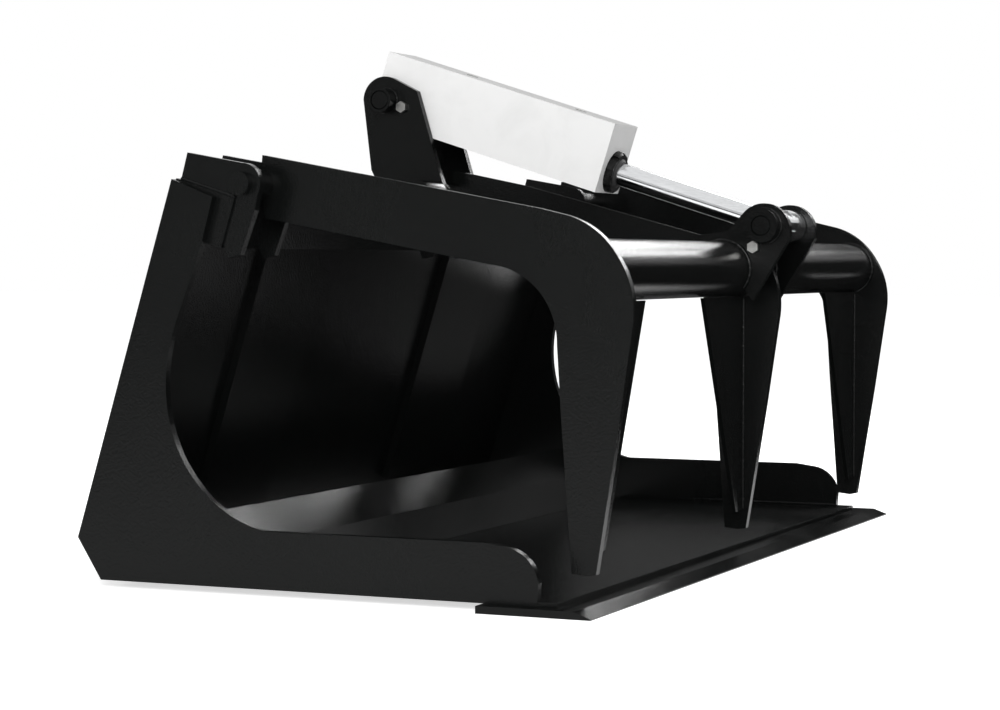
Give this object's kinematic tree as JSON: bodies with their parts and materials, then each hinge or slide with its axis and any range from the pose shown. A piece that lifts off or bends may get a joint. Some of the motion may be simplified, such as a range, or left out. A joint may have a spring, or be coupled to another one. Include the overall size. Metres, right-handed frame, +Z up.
{
  "type": "solid bottom grapple",
  "caption": "Loader bucket with a flat solid floor and curved grapple arms on a cross tube, closed by a covered hydraulic cylinder over the centre hinge.",
  "frame": {"origin": "On the ground plane under the cutting edge, at the middle of the width and under the front edge of the side plates.", "axes": "X runs across the bucket, the cutting edge faces -Y and Z is up."},
  "size_m": [1.524, 0.9374, 0.8439],
  "materials": {
    "frame_paint": "satin black orange-peel powder coat",
    "cover_paint": "white gloss paint on folded sheet",
    "gland_paint": "black paint on machined steel",
    "rod_chrome": "hard chrome with fine length-wise streaks",
    "bare_steel": "zinc plated steel",
    "seal_rubber": "matte black seal"
  },
  "bodies": {
    "bucket": {"back_plate": "frame_paint", "beam_end_caps": "frame_paint", "centre_hinge_pin": "frame_paint", "corner_plate": "frame_paint", "cutting_edge": "frame_paint", "cylinder_rear_pin": "frame_paint", "floor_plate": "frame_paint", "heel_plate": "frame_paint", "hinge_collars": "frame_paint", "left_back_strap": "frame_paint", "left_cylinder_bracket": "frame_paint", "left_hinge_pin": "frame_paint", "left_inner_ear": "frame_paint", "left_outer_ear": "frame_paint", "left_quick_attach_guide": "frame_paint", "left_rear_pin_boss": "frame_paint", "left_side_plate": "frame_paint", "quick_attach_ledge": "frame_paint", "quick_attach_lip": "frame_paint", "rear_pin_bolts": "bare_steel", "right_back_strap": "frame_paint", "right_cylinder_bracket": "frame_paint", "right_hinge_pin": "frame_paint", "right_inner_ear": "frame_paint", "right_outer_ear": "frame_paint", "right_quick_attach_guide": "frame_paint", "right_rear_pin_boss": "frame_paint", "right_side_plate": "frame_paint", "skid_bars": "frame_paint", "top_beam": "frame_paint"},
    "grapple": {"left_arm": "frame_paint", "right_arm": "frame_paint", "centre_arm": "frame_paint", "cross_tube": "frame_paint", "left_tine_gusset": "frame_paint", "centre_tine_gusset": "frame_paint", "right_tine_gusset": "frame_paint", "left_hinge_tube": "frame_paint", "right_hinge_tube": "frame_paint", "centre_hinge_tube": "frame_paint", "left_clevis_plate": "frame_paint", "right_clevis_plate": "frame_paint", "left_front_pin_boss": "frame_paint", "right_front_pin_boss": "frame_paint", "front_pin_bolts": "bare_steel", "cylinder_front_pin": "frame_paint"},
    "barrel": {"barrel_rear_eye": "frame_paint", "barrel_rear_cap": "frame_paint", "barrel_tube": "frame_paint", "gland_nut": "gland_paint", "rod_wiper": "seal_rubber", "cylinder_guard": "cover_paint", "rear_guard_block": "cover_paint", "front_guard_block": "cover_paint", "guard_bolts": "bare_steel"},
    "rod": {"piston_rod": "rod_chrome", "piston": "bare_steel", "piston_seal": "seal_rubber", "piston_nut": "bare_steel", "rod_eye": "rod_chrome"}
  },
  "joints": [
    {"name": "grapple_hinge", "type": "hinge", "parent": "bucket", "child": "grapple", "pos_m": [0, 0.472, 0.5975], "axis": [-1, 0, 0], "range_deg": [-2.5, 45]},
    {"name": "barrel_hinge", "type": "hinge", "parent": "bucket", "child": "barrel", "pos_m": [0, 0.564, 0.7585], "axis": [-1, 0, 0], "range_deg": [-2.3, 39.2]},
    {"name": "rod_slide", "type": "slide", "parent": "barrel", "child": "rod", "axis": [0, -0.9523, -0.3053], "range_m": [-0.1245, 0.008]}
  ],
  "couplings": [
    {"joint": "barrel_hinge", "follows": "grapple_hinge", "ratio": 0.863},
    {"joint": "rod_slide", "follows": "grapple_hinge", "m_per_rad": -0.157}
  ]
}
